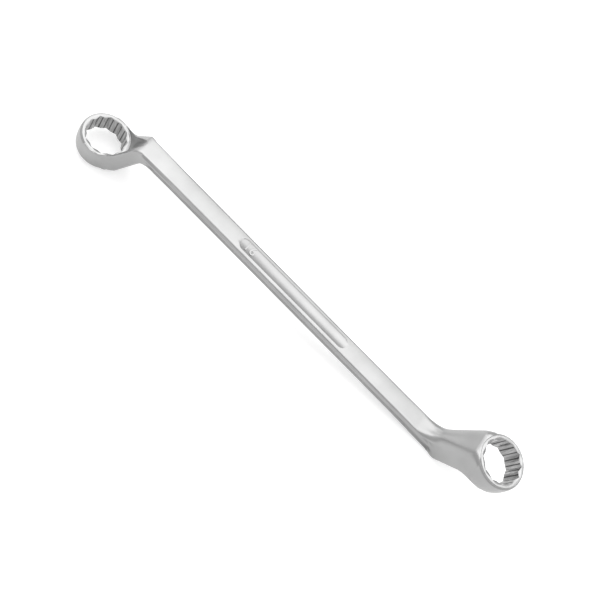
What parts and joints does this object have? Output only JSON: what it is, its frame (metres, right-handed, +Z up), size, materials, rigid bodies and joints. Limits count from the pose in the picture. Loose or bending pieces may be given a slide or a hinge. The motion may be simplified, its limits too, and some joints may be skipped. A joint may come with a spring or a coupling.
{
  "type": "double-ended ring spanner",
  "caption": "Forged ring spanner with deep offset cranked necks, a twelve-point bore at each end and a flat grooved handle with sunk panels.",
  "frame": {"origin": "under the middle of the bounding box, on the surface that the spanner rests on", "axes": "+X along the length from the smaller ring to the larger one, +Y across the handle, +Z up as the spanner rests on its smaller ring and the knee of the other neck"},
  "size_m": [0.239, 0.0244, 0.0282],
  "materials": {
    "satin_chrome_steel": "satin chrome plate over a forged alloy steel blank, with brighter machined rims and bores"
  },
  "bodies": {
    "root": {"spanner_forging": "satin_chrome_steel"}
  },
  "joints": []
}
